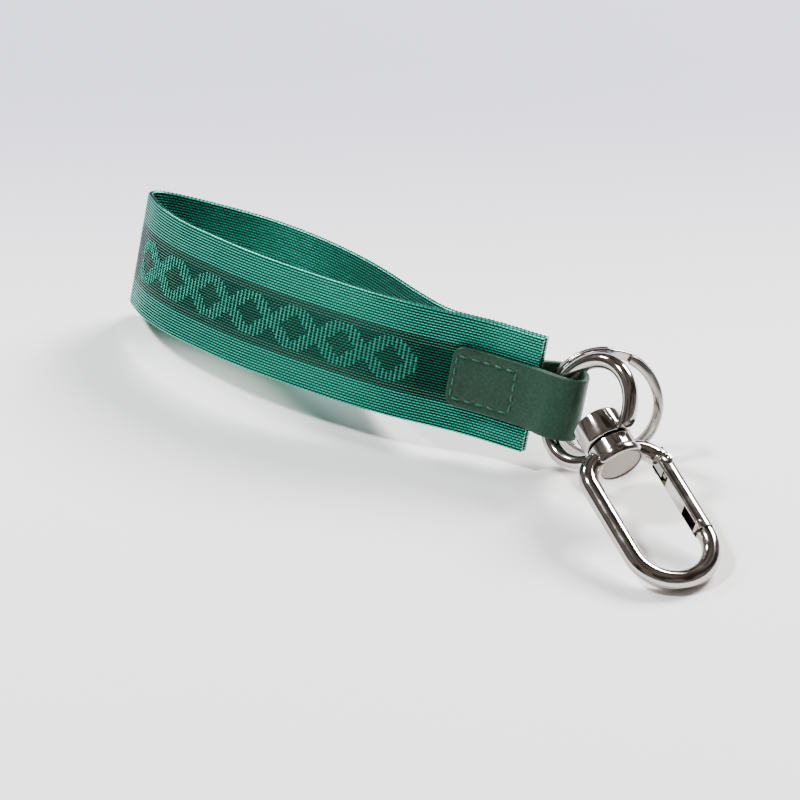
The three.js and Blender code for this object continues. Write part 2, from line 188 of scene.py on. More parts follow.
forward = Vector((
    math.cos(CAMERA_DOWN) * math.cos(CAMERA_HEADING),
    math.cos(CAMERA_DOWN) * math.sin(CAMERA_HEADING),
    -math.sin(CAMERA_DOWN),
))
camera = bpy.data.objects.new("camera", bpy.data.cameras.new("camera"))
camera.data.lens = CAMERA_LENS
camera.data.sensor_width = CAMERA_SENSOR
camera.location = CAMERA_AIM - forward * CAMERA_DISTANCE
camera.rotation_euler = forward.to_track_quat("-Z", "Y").to_euler()
bpy.context.scene.collection.objects.link(camera)
bpy.context.scene.camera = camera

# ---- where the parts are: frames in millimetres, from the model's joints ----

joints = {joint["name"]: joint for joint in frame["joints"]}


def joint_place(name):
    return Vector(joints[name]["pos_m"]) / MM


swing_axis = Vector(joints["key_ring_swing"]["axis"])
strap_turn = Matrix.Rotation(-math.atan2(swing_axis.y, swing_axis.z), 4, "X")
strap_origin = joint_place("key_ring_swing") - strap_turn @ Vector(KEY_RING_AT)
STRAP = Matrix.Translation(strap_origin) @ strap_turn
KEY_RING = STRAP @ Matrix.Translation(KEY_RING_AT) @ Matrix.Rotation(math.radians(KEY_RING_SWING), 4, "Z")

swivel_x = Vector(joints["swivel_turn"]["axis"]).normalized()
swivel_z = -Vector(joints["gate_open"]["axis"]).normalized()
swivel_y = swivel_z.cross(swivel_x)
# The hook's frame starts at the cap's face, with X along the swivel's axis and Y towards the gate.
HOOK = Matrix.Translation(joint_place("swivel_turn")) @ Matrix(
    (swivel_x, swivel_y, swivel_z)
).transposed().to_4x4()
EYE = HOOK @ Matrix.Translation((-UPPER_TO - BARREL_GAP - LOWER_LENGTH, 0, 0))
GATE = HOOK @ Matrix.Translation((PIVOT, HOOK_HALF, 0))

# ---- mesh helpers ----


def grid_faces(rows, columns, loop_rows=False):
    """Quads between the neighbours in a grid of points, whose rows are closed rings."""
    row, column = np.meshgrid(np.arange(rows if loop_rows else rows - 1), np.arange(columns), indexing="ij")
    below = (row + 1) % rows * columns
    beside = (column + 1) % columns
    row = row * columns
    return np.stack([row + column, row + beside, below + beside, below + column], -1).reshape(-1, 4).tolist()


def end_strips(rows, columns):
    """Quads that close the ends of a flat sleeve, whose rows run out on one face and back on the other."""
    faces = []
    for row in (0, rows - 1):
        first = row * columns
        for near in range(columns // 2 - 1):
            far = columns - 1 - near
            faces.append([first + near, first + far, first + far - 1, first + near + 1])
    return faces


def end_caps(rows, columns):
    """The first and the last row as one face each."""
    return [list(range(columns)), list(range((rows - 1) * columns, rows * columns))]


def form(name, points, faces, merge=0.001):
    """An object with a closed mesh whose faces look out."""
    mesh = bpy.data.meshes.new(name)
    mesh.from_pydata(np.asarray(points, float).reshape(-1, 3).tolist(), [], faces)
    sculpt = bmesh.new()
    sculpt.from_mesh(mesh)
    if merge:
        bmesh.ops.remove_doubles(sculpt, verts=sculpt.verts, dist=merge)
        bmesh.ops.dissolve_degenerate(sculpt, edges=sculpt.edges, dist=merge / 10)
    bmesh.ops.recalc_face_normals(sculpt, faces=sculpt.faces)
    sculpt.to_mesh(mesh)
    sculpt.free()
    made = bpy.data.objects.new(name, mesh)
    bpy.context.scene.collection.objects.link(made)
    return made


def sweep(name, path, section, up, loop=False):
    """A section of (sideways, up) points carried along a path."""
    path = np.asarray(path, float)
    up = np.broadcast_to(np.asarray(up, float), path.shape)
    ahead = np.gradient(path, axis=0)
    if loop:
        ahead = np.roll(path, -1, axis=0) - np.roll(path, 1, axis=0)
    ahead = ahead / np.linalg.norm(ahead, axis=1, keepdims=True)
    side = np.cross(ahead, up)
    section = np.asarray(section, float)
    points = path[:, None] + side[:, None] * section[None, :, :1] + up[:, None] * section[None, :, 1:]
    rows, columns = points.shape[:2]
    faces = grid_faces(rows, columns, loop)
    if not loop:
        faces += end_caps(rows, columns)
    return form(name, points, faces)


def circle(radius, sides):
    angles = 2 * np.pi * (np.arange(sides) + 0.5) / sides
    return np.stack([radius * np.cos(angles), radius * np.sin(angles)], 1)


def softened(points, radius, steps=4):
    """An open outline with each inner corner rounded off."""
    points = [np.array(point, float) for point in points]
    made = [points[0]]
    for before, here, after in zip(points, points[1:], points[2:]):
        back = before - here
        on = after - here
        reach = min(radius, np.linalg.norm(back) * 0.45, np.linalg.norm(on) * 0.45)
        start = here + back / np.linalg.norm(back) * reach
        end = here + on / np.linalg.norm(on) * reach
        for step in range(steps + 1):
            share = step / steps
            made.append(start * (1 - share) ** 2 + 2 * here * share * (1 - share) + end * share ** 2)
    made.append(points[-1])
    return made


def turned(name, profile, sides=72):
    """A body of revolution about X from (radius, distance along X) points."""
    profile = np.asarray(profile, float)
    angles = 2 * np.pi * np.arange(sides) / sides
    points = np.stack([
        np.broadcast_to(profile[:, 1:2], (len(profile), sides)),
        profile[:, :1] * np.cos(angles),
        profile[:, :1] * np.sin(angles),
    ], -1)
    return form(name, points, grid_faces(len(profile), sides))


def rod(radius, start, end, sides=48):
    return turned("rod", [(0, start), (radius, start), (radius, end), (0, end)], sides)


def moved(made, matrix):
    made.data.transform(matrix)
    return made


def cross_rod(radius, half, x, y, sides=48):
    """A rod along Z through a point of the hook's plane."""
    turn = Matrix.Translation((x, y, 0)) @ Matrix.Rotation(math.pi / 2, 4, "Y")
    return moved(rod(radius, -half, half, sides), turn)


def block(x0, x1, y0, y1, z0, z1):
    corners = [(x, y, z) for x in (x0, x1) for y in (y0, y1) for z in (z0, z1)]
    faces = [(0, 1, 3, 2), (4, 6, 7, 5), (0, 4, 5, 1), (2, 3, 7, 6), (0, 2, 6, 4), (1, 5, 7, 3)]
    return form("block", corners, faces)


def combined(base, operation, *others):
    """The base joined with the others, or cut by them."""
    for other in others:
        step = base.modifiers.new("combine", "BOOLEAN")
        step.operation = operation
        step.solver = "EXACT"
        step.object = other
    settle(base)
    for other in others:
        bpy.data.objects.remove(other)
    return base


def settle(made):
    """Applies an object's modifiers."""
    graph = bpy.context.evaluated_depsgraph_get()
    mesh = bpy.data.meshes.new_from_object(made.evaluated_get(graph))
    made.modifiers.clear()
    made.data = mesh


def curve(points, per_span=24):
    """A centripetal Catmull-Rom curve through points, as close points."""
    points = np.asarray(points, float)
    padded = np.vstack([2 * points[0] - points[1], points, 2 * points[-1] - points[-2]])
    made = []
    for p0, p1, p2, p3 in zip(padded, padded[1:], padded[2:], padded[3:]):
        d0, d1, d2 = (np.linalg.norm(b - a) ** 0.5 for a, b in ((p0, p1), (p1, p2), (p2, p3)))
        t1 = ((p1 - p0) / d0 - (p2 - p0) / (d0 + d1) + (p2 - p1) / d1) * d1
        t2 = ((p2 - p1) / d1 - (p3 - p1) / (d1 + d2) + (p3 - p2) / d2) * d1
        t = np.arange(per_span)[:, None] / per_span
        made.append(
            (2 * t**3 - 3 * t**2 + 1) * p1 + (t**3 - 2 * t**2 + t) * t1
            + (3 * t**2 - 2 * t**3) * p2 + (t**3 - t**2) * t2
        )
    return np.vstack([*made, points[-1:]])


def travelled(path):
    return np.concatenate([[0], np.cumsum(np.linalg.norm(np.diff(path, axis=0), axis=1))])


def at(path, distances):
    """Points at distances along a path."""
    run = travelled(path)
    return np.stack([np.interp(distances, run, path[:, i]) for i in range(path.shape[1])], -1)


def direction_at(path, distances):
    """The path's direction in plan at distances along it."""
    beyond = at(path, np.minimum(distances + TANGENT_REACH, travelled(path)[-1]))
    ahead = (beyond - at(path, np.maximum(distances - TANGENT_REACH, 0)))[..., :2]
    return ahead / np.linalg.norm(ahead, axis=-1, keepdims=True)


# The webbing's run, and where the motif starts and ends along it.
web_path = curve(WEB_ROUTE)
web_run = travelled(web_path)
WEB_LENGTH = web_run[-1]
front_layer = web_run < WEB_LENGTH * 0.48
front_x = -web_path[front_layer, 0]
motif_start, motif_end = np.interp([-MOTIF_TO, -MOTIF_FROM], front_x, web_run[front_layer])

# ---- materials ----


class Shading:
    """One material's nodes."""

    def __init__(self, name, fixed):
        self.material = bpy.data.materials.new(name)
        self.material.use_nodes = True
        self.tree = self.material.node_tree
        self.shader = self.tree.nodes["Principled BSDF"]
        for socket, value in fixed.items():
            self.shader.inputs[socket].default_value = value

    def put(self, socket, value):
        if isinstance(value, bpy.types.NodeSocket):
            self.tree.links.new(value, socket)
        else:
            socket.default_value = value

    def node(self, kind, inputs=None, **settings):
        made = self.tree.nodes.new("ShaderNode" + kind)
        for key, value in settings.items():
            setattr(made, key, value)
        for key, value in (inputs or {}).items():
            self.put(made.inputs[key], value)
        return made

    def math(self, operation, *values):
        return self.node("Math", dict(enumerate(values)), operation=operation).outputs[0]

    def mix(self, share, first, second):
        made = self.node("Mix", {0: share, 6: first, 7: second}, data_type="RGBA")
        return made.outputs[2]

    def step(self, value, low, high, start=0.0, end=1.0):
        inputs = {"Value": value, "From Min": low, "From Max": high, "To Min": start, "To Max": end}
        return self.node("MapRange", inputs, interpolation_type="SMOOTHSTEP").outputs[0]

    def object_place(self):
        return self.node("TexCoord").outputs["Object"]

    def weave_place(self):
        return self.node("Attribute", attribute_name="weave").outputs["Vector"]

    def noise(self, where, scale, detail=3.0):
        return self.node("TexNoise", {"Vector": where, "Scale": scale, "Detail": detail}).outputs[0]

    def bump(self, height, strength, distance, normal=None):
        inputs = {"Height": height, "Strength": strength, "Distance": distance}
        if normal:
            inputs["Normal"] = normal
        return self.node("Bump", inputs).outputs[0]

    def to_shader(self, **sockets):
        for socket, value in sockets.items():
            self.put(self.shader.inputs[socket.replace("_", " ")], value)
        return self.material


def webbing_material():
    """Glossy green ribs of short dashes, with painted shade in the gaps between ribs, at the dashes' ends and
    along the rims. The outer face has grey and dark bands along it.
    """
    made = Shading("woven_webbing", {"Roughness": 0.33, "Metallic": 0.9, "Specular IOR Level": 0.1})
    along, height, outer = made.node("SeparateXYZ", {0: made.weave_place()}).outputs
    rib = made.math("DIVIDE", height, RIB_PITCH)
    odd = made.math("MODULO", made.math("FLOOR", rib), 2.0)
    groove = made.math("ABSOLUTE", made.math("SUBTRACT", made.math("FRACT", rib), 0.5))
    dash = made.math("ADD", made.math("DIVIDE", along, DASH_PITCH), made.math("MULTIPLY", odd, 0.5))
    dash_end = made.math("ABSOLUTE", made.math("SUBTRACT", made.math("FRACT", dash), 0.5))
    to_edge = made.math("ABSOLUTE", made.math("SUBTRACT", height, WEB_WIDTH / 2))
    selvedge = made.step(to_edge, WEB_WIDTH / 2 - 0.3, WEB_WIDTH / 2 - 0.1, 1.0, 0.0)
    # Painted shade, blended towards near black below: in the gaps between ribs, at the ends of each dash, and
    # along the two rims.
    gap_shade = made.math("MULTIPLY", made.step(groove, 0.10, 0.32), selvedge)
    tuck_shade = made.step(dash_end, 0.24, 0.46, 0.0, 0.8)
    rim = made.step(to_edge, WEB_WIDTH / 2 - 0.3, WEB_WIDTH / 2 - 0.05, 0.0, 0.85)
    shade = made.math("MAXIMUM", made.math("MAXIMUM", gap_shade, tuck_shade), rim)
    from_middle = made.math("ABSOLUTE", made.math("SUBTRACT", height, BAND_MIDDLE))
    is_grey = made.math("LESS_THAN", from_middle, GREY_BAND_HALF)
    is_dark = made.math("LESS_THAN", from_middle, DARK_BAND_HALF)
    past_start = made.math("GREATER_THAN", along, motif_start)
    is_motif = made.math("MULTIPLY", past_start, made.math("LESS_THAN", along, motif_end))
    drawn_out = made.node("CombineXYZ", {0: made.math("MULTIPLY", along, 0.12), 1: rib}).outputs[0]
    streaks = made.noise(drawn_out, 1.0)
    bright = made.mix(streaks, (0.015, 0.42, 0.28, 1), (0.06, 0.72, 0.52, 1))
    banded = made.mix(is_grey, bright, (0.05, 0.21, 0.15, 1))
    banded = made.mix(is_dark, banded, (0.008, 0.13, 0.085, 1))
    climb = made.math("ADD", made.math("MULTIPLY", along, 0.9), made.math("MULTIPLY", height, 0.75))
    slant = made.step(made.math("FRACT", climb), 0.3, 0.6)
    weft = made.math("MULTIPLY", slant, made.math("MULTIPLY", is_dark, is_motif))
    banded = made.mix(made.math("MULTIPLY", weft, 0.55), banded, (0.05, 0.24, 0.175, 1))
    strand = made.mix(outer, bright, banded)
    colour = made.mix(shade, strand, (0.0001, 0.003, 0.002, 1))
    fibres = made.node("CombineXYZ", {0: along, 1: height}).outputs[0]
    twist = made.node("TexWave", {"Vector": fibres, "Scale": 1.6, "Distortion": 0.6},
                      wave_type="BANDS", bands_direction="DIAGONAL").outputs["Fac"]
    return made.to_shader(Base_Color=colour, Normal=made.bump(twist, 0.35, 0.00005))


def motif_material():
    """Raised beads: glossy thread, with painted shade at each bead's foot where it meets the webbing."""
    made = Shading("woven_beads", {"Roughness": 0.34, "Metallic": 0.85, "Specular IOR Level": 0.1})
    rise = made.node("SeparateXYZ", {0: made.weave_place()}).outputs[2]
    tone = made.noise(made.object_place(), 900.0)
    thread = made.mix(tone, (0.009, 0.20, 0.13, 1), (0.04, 0.42, 0.30, 1))
    # Painted shade: near black low on each bead, thread colour higher up.
    return made.to_shader(Base_Color=made.mix(made.step(rise, 0.1, 0.6), (0.001, 0.03, 0.02, 1), thread))


def leather_material():
    """Dark green semi-gloss leather with a fine grain."""
    made = Shading("green_leather", {"Specular IOR Level": 0.24, "Coat Weight": 0.04, "Coat Roughness": 0.3})
    where = made.object_place()
    cloud = made.noise(where, 120.0, 4.0)
    speck = made.noise(where, 1500.0, 2.0)
    pores = made.node("TexVoronoi", {"Vector": where, "Scale": 1700.0}, feature="DISTANCE_TO_EDGE").outputs[0]
    crease = made.step(pores, 0.0, 0.12)
    base = made.mix(cloud, (0.006, 0.030, 0.017, 1), (0.015, 0.055, 0.032, 1))
    base = made.mix(made.step(speck, 0.35, 0.75, 0.0, 0.5), base, (0.027, 0.08, 0.05, 1))
    # Painted shade: the grain's creases are darkened.
    base = made.mix(made.step(crease, 0.0, 1.0, 0.35, 0.0), base, (0.006, 0.02, 0.013, 1))
    grain = made.bump(crease, 0.25, 0.00006)
    return made.to_shader(
        Base_Color=base,
        Roughness=made.step(cloud, 0.2, 0.8, 0.38, 0.52),
        Normal=made.bump(made.noise(where, 2600.0, 3.0), 0.3, 0.00006, grain),
    )


def thread_material():
    """Twisted sewing thread."""
    sheen = {"Sheen Weight": 0.3, "Sheen Tint": (0.4, 0.8, 0.65, 1)}
    made = Shading("sewing_thread", {"Roughness": 0.55, **sheen})
    ply = made.node("TexWave", {"Vector": made.weave_place(), "Scale": 0.9}, wave_type="BANDS",
                    bands_direction="DIAGONAL").outputs["Fac"]
    # Painted shade: the colour is darker in the grooves between the plies, following the same bands as the
    # bump.
    colour = made.mix(ply, (0.004, 0.05, 0.03, 1), (0.014, 0.13, 0.085, 1))
    return made.to_shader(Base_Color=colour, Normal=made.bump(ply, 0.5, 0.00006))


def nickel_material(name, colour, roughness, spread):
    """Polished plate with faint handling marks."""
    made = Shading(name, {"Metallic": 1.0, "Base Color": colour})
    where = made.object_place()
    marks = made.noise(where, 260.0, 5.0)
    wave = made.noise(where, 90.0, 1.0)
    return made.to_shader(
        Roughness=made.step(marks, 0.35, 0.8, roughness, roughness + spread),
        Normal=made.bump(wave, 0.05, 0.00015),
    )


def brushed_material():
    """Fine brush lines along one direction of the hook's cap."""
    made = Shading("brushed_nickel", {"Metallic": 1.0, "Anisotropic": 0.45})
    turn = HOOK.to_3x3().inverted().to_euler()
    where = made.node("Mapping", {"Vector": made.object_place(), "Rotation": turn}).outputs[0]
    lines = made.node("Mapping", {"Vector": where, "Scale": (1, 0.05, 1)}).outputs[0]
    brush = made.noise(lines, 9000.0, 2.0)
    cloud = made.noise(where, 160.0, 2.0)
    tone = made.mix(brush, (0.25, 0.222, 0.19, 1), (0.37, 0.335, 0.285, 1))
    return made.to_shader(
        Base_Color=tone,
        Roughness=made.step(cloud, 0.3, 0.7, 0.34, 0.44),
        Normal=made.bump(brush, 0.18, 0.00003),
    )


webbing_look = webbing_material()
motif_look = motif_material()
leather_look = leather_material()
thread_look = thread_material()
nickel_look = nickel_material("polished_nickel", (0.48, 0.452, 0.42, 1), 0.07, 0.10)
steel_look = nickel_material("spring_steel", (0.42, 0.42, 0.42, 1), 0.22, 0.12)
brushed_look = brushed_material()


def place(made, name, where, body, look, replaced=(), sharp=40):
    """Puts a finished form into the model: in metres, on its body, with its material."""
    made.data.transform(Matrix.Scale(MM, 4) @ where)
    made.name = name
    made.data.name = name
    made.data.materials.clear()
    made.data.materials.append(look)
    made.data.shade_smooth()
    made.data.set_sharp_from_angle(angle=math.radians(sharp))
    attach(made, body)
    if replaced:
        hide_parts(*replaced)
    return made


def write_weave(made, values):
    """Keeps each point's place in the weave: along it, across it, and the face or the rise."""
    weave = made.data.attributes.new("weave", "FLOAT_VECTOR", "POINT")
    weave.data.foreach_set("vector", np.asarray(values, np.float32).ravel())


def welded(made):
    """Joins points that lie in the same place, and keeps what they carry."""
    sculpt = bmesh.new()
    sculpt.from_mesh(made.data)
    bmesh.ops.remove_doubles(sculpt, verts=sculpt.verts, dist=0.001)
    bmesh.ops.recalc_face_normals(sculpt, faces=sculpt.faces)
    sculpt.to_mesh(made.data)
    sculpt.free()


# ---- the webbing ----

web_steps = round(WEB_LENGTH / (DASH_PITCH / 2))
web_stations = np.linspace(0, WEB_LENGTH, web_steps + 1)


def web_lines(stations):
    """Centre points and outward directions of the webbing at distances along it."""
    ahead = direction_at(web_path, stations)
    return at(web_path, stations), np.stack([-ahead[..., 1], ahead[..., 0]], -1)


def webbing_piece():
    samples = 3
    across = np.arange(RIBS * samples + 1) / samples
    heights = across * RIB_PITCH
    from_edge = np.minimum(heights, WEB_WIDTH - heights)
    edge = np.clip(1 - from_edge / (WEB_THICK / 2), 0, 1)
    half = np.maximum(WEB_THICK / 2 * np.sqrt(1 - edge**2), EDGE_HALF)
    in_groove = (np.arange(len(across)) % samples == 0) & (from_edge > 0.1)
    ribs = np.minimum(across.astype(int), RIBS - 1)
    wave = np.cos(2 * np.pi * (np.arange(web_steps + 1)[:, None] / 2 + ribs[None, :] / 2))
    relief = np.where(in_groove, -RIB_DEPTH, DASH_DEPTH * wave)
    centres, outward = web_lines(web_stations)
    points = []
    values = []
    for side in (1, -1):
        over = side * (half[None, :] + relief)
        face = np.empty((*over.shape, 3))
        face[..., :2] = centres[:, None] + outward[:, None] * over[..., None]
        face[..., 2] = heights
        face[:, 0, 2] += SCALLOP * wave[:, 0]
        face[:, -1, 2] += SCALLOP * wave[:, -1]
        value = np.empty_like(face)
        value[..., 0] = web_stations[:, None]
        value[..., 1] = heights
        value[..., 2] = (side + 1) / 2
        points.append(face if side > 0 else face[:, ::-1])
        values.append(value if side > 0 else value[:, ::-1])
    points = np.concatenate(points, axis=1)
    values = np.concatenate(values, axis=1)
    faces = grid_faces(*points.shape[:2]) + end_strips(*points.shape[:2])
    made = form("webbing_weave", points, faces, merge=0)
    write_weave(made, values)
    place(made, "webbing_weave", STRAP, "strap", webbing_look, ["webbing_strap"], 70)
    return made


def motif_piece():
    """A lattice of hollow diamonds in raised beads, across the front layer's dark band."""
    columns = int((motif_end - motif_start) / MOTIF_PITCH)
    middle = (MOTIF_ROWS - 1) / 2
    cells = []
    for column in range(columns):
        phase = abs(column % MOTIF_PERIOD - MOTIF_PERIOD / 2) / (MOTIF_PERIOD / 2)
        tip = (middle + 1.5) * (1 - phase) + MOTIF_TIP
        for row in range(MOTIF_ROWS):
            if tip - MOTIF_STROKE <= abs(row - middle) <= tip:
                along = motif_start + (column + 0.5) * MOTIF_PITCH
                cells.append((along, BAND_MIDDLE + (row - middle) * RIB_PITCH))
    cells = np.array(cells)
    sides = 8
    rings = 5
    angles = 2 * np.pi * np.arange(sides) / sides
    tilts = np.pi * np.arange(rings + 1) / rings
    ball = np.stack([
        np.sin(tilts)[:, None] * np.cos(angles) * MOTIF_PITCH * BEAD_ALONG,
        np.sin(tilts)[:, None] * np.sin(angles) * RIB_PITCH * BEAD_ACROSS,
        np.broadcast_to(np.cos(tilts)[:, None], (rings + 1, sides)),
    ], -1).reshape(-1, 3)
    centres, outward = web_lines(cells[:, :1] + ball[None, :, 0])
    over = WEB_THICK / 2 - BEAD_SUNK + ball[:, 2] * BEAD_HIGH
    points = np.empty((len(cells), len(ball), 3))
    points[..., :2] = centres + outward * over[None, :, None]
    points[..., 2] = cells[:, 1:] + ball[:, 1]
    one = grid_faces(rings + 1, sides)
    faces = [[corner + bead * len(ball) for corner in face] for bead in range(len(cells)) for face in one]
    made = form("woven_motif", points, faces, merge=0)
    rise = np.broadcast_to(ball[:, 2], points.shape[:2])
    write_weave(made, np.stack([points[..., 0], points[..., 2], rise], -1))
    welded(made)
    return place(made, "woven_motif", STRAP, "strap", motif_look, (), 80)


webbing = webbing_piece()
motif = motif_piece()

# ---- the leather tab and its seams ----

tab_path = curve(TAB_ROUTE)
TAB_LENGTH = travelled(tab_path)[-1]


def tab_points(distances, heights, over):
    """Points of the tab: distance along it, height over its lower edge, and height over its middle."""
    here = at(tab_path, distances)
    ahead = direction_at(tab_path, distances)
    outward = np.stack([ahead[..., 1], -ahead[..., 0]], -1)
    points = np.empty((*here.shape[:-1], 3))
    points[..., :2] = here[..., :2] + outward * over[..., None]
    points[..., 1] += TAB_TWIST * (heights / TAB_WIDTH - 0.5) * here[..., 2]
    points[..., 2] = TAB_BOTTOM + heights
    return points


def box_distance(x, y, x0, x1, y0, y1, corner):
    """How far inside a rectangle with round corners a point is."""
    dx = np.abs(x - (x0 + x1) / 2) - ((x1 - x0) / 2 - corner)
    dy = np.abs(y - (y0 + y1) / 2) - ((y1 - y0) / 2 - corner)
    outside = np.hypot(np.maximum(dx, 0), np.maximum(dy, 0))
    return corner - outside - np.minimum(np.maximum(dx, dy), 0)


def rim_spaced(length, step, rim=0.5):
    """Distances over a length, closer together next to its two ends."""
    inner = np.linspace(rim, length - rim, round(length / step))
    close = rim * (1 - np.cos(np.linspace(0, np.pi / 2, 6)[:-1]))
    return np.concatenate([close, inner, length - close[::-1]])


def tab_piece():
    heights = rim_spaced(TAB_WIDTH, 0.33)
    shares = rim_spaced(TAB_LENGTH, 0.36) / TAB_LENGTH
    near = np.minimum(heights, TAB_WIDTH - heights)
    in_corner = np.maximum(TAB_CORNER - near, 0)
    set_back = TAB_CORNER - np.sqrt(TAB_CORNER**2 - in_corner**2)
    distances = set_back[None, :] + (TAB_LENGTH - 2 * set_back[None, :]) * shares[:, None]
    rise = np.broadcast_to(heights[None, :], distances.shape)
    inside = box_distance(distances, rise, 0, TAB_LENGTH, 0, TAB_WIDTH, TAB_CORNER)
    rim = np.clip(1 - inside / RIM_REACH, 0, 1)
    half = TAB_THICK / 2 * (0.3 + 0.7 * np.sqrt(1 - rim**2))
    groove = np.zeros_like(half)
    for start in (STITCH_MARGIN, TAB_LENGTH - STITCH_MARGIN - STITCH_LENGTH):
        seam = box_distance(distances, rise, start, start + STITCH_LENGTH, STITCH_BOTTOM,
                            STITCH_BOTTOM + STITCH_HEIGHT, 0.2)
        groove = np.maximum(groove, np.clip(1 - (seam / SEAM_REACH) ** 2, 0, 1) ** 1.5)
    front = tab_points(distances, rise, half - SEAM_SUNK * groove)
    back = tab_points(distances, rise, -half)
    points = np.concatenate([front, back[:, ::-1]], axis=1)
    faces = grid_faces(*points.shape[:2]) + end_strips(*points.shape[:2])
    made = form("leather_tab_fine", points, faces)
    return place(made, "leather_tab_fine", STRAP, "strap", leather_look, ["leather_tab"], 60)


def stitches(name, from_start, replaced):
    """Separate stitches round a seam, their ends sunk into the leather."""
    left = STITCH_MARGIN if from_start else TAB_LENGTH - STITCH_MARGIN - STITCH_LENGTH
    right = left + STITCH_LENGTH
    top = STITCH_BOTTOM + STITCH_HEIGHT
    sides_of_seam = [
        ((left, STITCH_BOTTOM), (right, STITCH_BOTTOM), STITCHES_ALONG),
        ((right, STITCH_BOTTOM), (right, top), STITCHES_ACROSS),
        ((right, top), (left, top), STITCHES_ALONG),
        ((left, top), (left, STITCH_BOTTOM), STITCHES_ACROSS),
    ]
    points = []
    faces = []
    weave = []
    ring = circle(STITCH_RADIUS, 8)
    stations = np.linspace(0, 1, 9)
    for start, end, count in sides_of_seam:
        start = np.array(start)
        end = np.array(end)
        run = np.linalg.norm(end - start)
        direction = (end - start) / run
        aside = np.array([-direction[1], direction[0]])
        pitch = run / count
        for i in range(count):
            slant = STITCH_SLANT * math.sin(2.4 * i + run)
            along = pitch * (i + 0.5) + (stations - 0.5) * pitch * STITCH_SHARE
            line = start + direction * along[:, None] + aside * slant * (stations[:, None] - 0.5)
            arch = np.sin(np.pi * stations)
            over = TAB_THICK / 2 - 0.42 + 0.52 * arch**0.6
            size = 0.75 + 0.25 * arch
            spread = line[:, None] + aside * (ring[None, :, :1] * size[:, None, None])
            height = over[:, None] + ring[None, :, 1] * size[:, None] * 0.8
            made = tab_points(spread[..., 0], spread[..., 1], height)
            first = len(points) * len(stations) * len(ring)
            for face in grid_faces(len(stations), len(ring)) + end_caps(len(stations), len(ring)):
                faces.append([first + corner for corner in face])
            points.append(made)
            value = np.zeros_like(made)
            value[..., 0] = along[:, None]
            value[..., 1] = np.arange(len(ring)) / len(ring)
            weave.append(value)
    made = form(name, np.array(points), faces, merge=0)
    write_weave(made, np.array(weave))
    return place(made, name, STRAP, "strap", thread_look, [replaced], 60)


tab_piece()
stitches("stitches_front", True, "stitch_thread_front")
stitches("stitches_back", False, "stitch_thread_back")

# ---- the split key ring ----


def split_ring_piece():
    total = 720 - KEY_RING_JOG
    coil = 360 - KEY_RING_JOG
    done = np.linspace(0, total, 280)
    angle = np.radians(KEY_RING_END - done)
    share = np.clip((done - coil) / KEY_RING_JOG, 0, 1)
    crossed = share * share * (3 - 2 * share) - 0.5
    path = np.stack([
        KEY_RING_RADIUS * (1 + np.cos(angle)),
        KEY_RING_PITCH * crossed,
        KEY_RING_RADIUS * np.sin(angle),
    ], -1)
    half = (KEY_RING_PITCH - RING_GAP) / 2
    across = KEY_RING_BREADTH / 2
    outline = softened([
        (0, half), (across, half), (across, -half), (-across, -half), (-across, half), (0, half),
    ], RING_SOFT)[:-1]
    made = sweep("split_ring", path, outline, (0, 1, 0))
    replaced = ["split_key_ring"]
    return place(made, "key_ring_wire", KEY_RING, "key_ring", nickel_look, replaced, 50)


split_ring_piece()

# ---- the eye ring and its barrel ----


def eye_piece():
    angles = 2 * np.pi * np.arange(128) / 128
    path = np.stack([EYE_SHORT * np.cos(angles), EYE_LONG * np.sin(angles), np.zeros(128)], -1)
    ring = sweep("eye", path, circle(EYE_WIRE, 32), (0, 0, 1), True)
    moved(ring, Matrix.Rotation(math.radians(EYE_ROLL), 4, "X"))
    ring = combined(ring, "DIFFERENCE", block(UPPER_TO, 30, -30, 30, -30, 30))
    barrel = turned("barrel", softened([
        (0, UPPER_FROM), (UPPER_RADIUS, UPPER_FROM), (UPPER_RADIUS, UPPER_TO), (0, UPPER_TO),
    ], BARREL_SOFT), 96)
    bore = rod(POST_RADIUS + GAP, UPPER_FROM - 1, UPPER_TO + 1)
    room = rod(POST_HEAD + GAP, UPPER_FROM - 1, UPPER_FROM + POST_HEAD_THICK + 2 * GAP)
    ring = combined(ring, "UNION", barrel)
    ring = combined(ring, "DIFFERENCE", bore, room)
    return place(ring, "eye_and_barrel", EYE, "eye", nickel_look, ["eye_ring"], 35)


eye_piece()

# ---- the hook ----


def arc(centre_x, centre_y, radius, start, end, steps):
    angles = np.radians(np.linspace(start, end, steps + 1))
    return [(centre_x + radius * math.cos(a), centre_y + radius * math.sin(a), 0) for a in angles]


def plate(outline):
    """A flat plate of the tongues' thickness from (x, y) points of its outline."""
    count = len(outline)
    points = [(x, y, z) for z in (-TONGUE_HALF, TONGUE_HALF) for x, y in outline]
    return form("plate", points, grid_faces(2, count) + end_caps(2, count))


